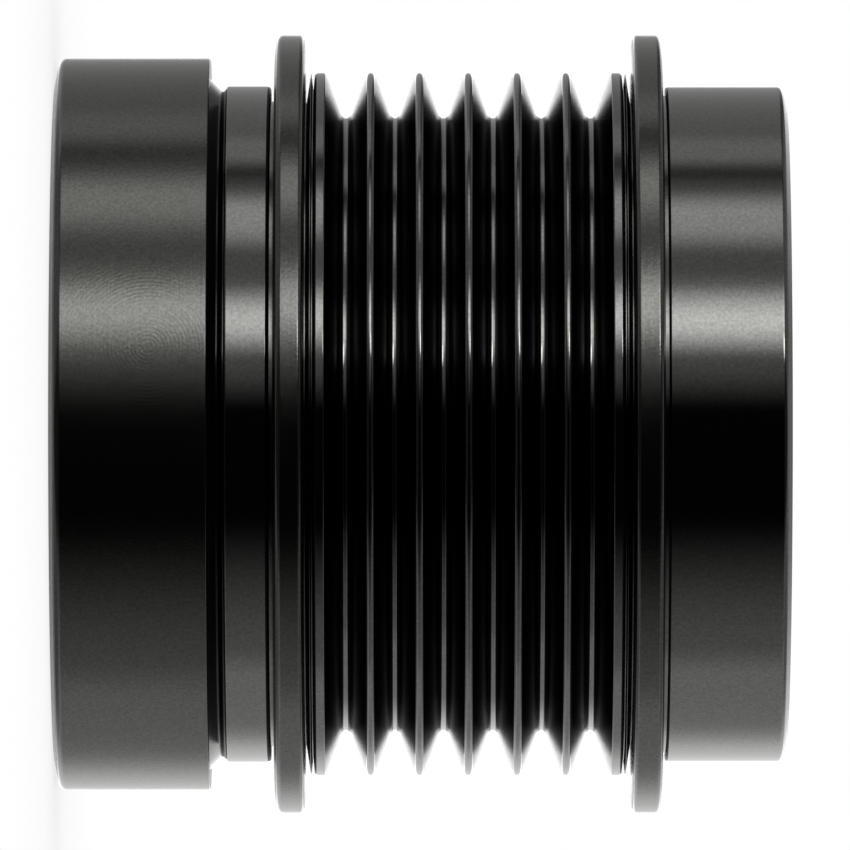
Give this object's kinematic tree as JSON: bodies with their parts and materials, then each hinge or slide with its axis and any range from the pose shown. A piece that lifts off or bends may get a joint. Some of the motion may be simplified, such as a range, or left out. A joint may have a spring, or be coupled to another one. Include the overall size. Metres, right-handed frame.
{
  "type": "overrunning alternator pulley",
  "caption": "Black ribbed belt pulley with side flanges, a ring and a sleeve, turning on a hub through ball bearings and a one-way roller clutch.",
  "frame": {"origin": "centre of the large ring's end face, on the pulley's axis, where the pulley stands", "axes": "+Z along the pulley's axis, from the alternator side (large ring) to the engine's front (sleeve and dust cap)"},
  "size_m": [0.0568, 0.0568, 0.0534],
  "materials": {
    "blackened_steel": "turned steel with a thin black coating, semi-gloss",
    "hub_steel": "turned",
    "hardened_steel": "ground",
    "bearing_steel": "ground and polished",
    "spring_steel": "rolled strip",
    "glass_filled_nylon": "moulded",
    "seal_rubber": "moulded, matt",
    "cap_plastic": "moulded, fine grain"
  },
  "bodies": {
    "hub": {"hub": "hub_steel", "cam_ring": "hardened_steel", "clutch_rollers": "bearing_steel", "clutch_cage": "glass_filled_nylon", "clutch_springs": "spring_steel", "spacer": "hub_steel", "rear_bearing_inner_ring": "bearing_steel", "front_bearing_inner_ring": "bearing_steel"},
    "rim": {"rim": "blackened_steel", "clutch_race": "hardened_steel", "rear_bearing_outer_ring": "bearing_steel", "rear_bearing_lower_seal": "seal_rubber", "rear_bearing_upper_seal": "seal_rubber", "front_bearing_outer_ring": "bearing_steel", "front_bearing_lower_seal": "seal_rubber", "front_bearing_upper_seal": "seal_rubber"},
    "rear_ball_set": {"rear_bearing_balls": "bearing_steel", "rear_bearing_ball_cage": "glass_filled_nylon"},
    "front_ball_set": {"front_bearing_balls": "bearing_steel", "front_bearing_ball_cage": "glass_filled_nylon"},
    "dust_cap": {"dust_cap": "cap_plastic"}
  },
  "joints": [
    {"name": "rim_spin", "type": "hinge", "parent": "hub", "child": "rim", "pos_m": [0, 0, 0.03], "axis": [0, 0, 1], "continuous": true},
    {"name": "rear_ball_set_spin", "type": "hinge", "parent": "hub", "child": "rear_ball_set", "pos_m": [0, 0, 0.0064], "axis": [0, 0, 1], "continuous": true},
    {"name": "front_ball_set_spin", "type": "hinge", "parent": "hub", "child": "front_ball_set", "pos_m": [0, 0, 0.046], "axis": [0, 0, 1], "continuous": true},
    {"name": "dust_cap_pull", "type": "slide", "parent": "rim", "child": "dust_cap", "axis": [0, 0, 1], "range_m": [0, 0.015]}
  ],
  "couplings": [
    {"joint": "rear_ball_set_spin", "follows": "rim_spin", "ratio": 0.59917},
    {"joint": "front_ball_set_spin", "follows": "rim_spin", "ratio": 0.57104}
  ]
}
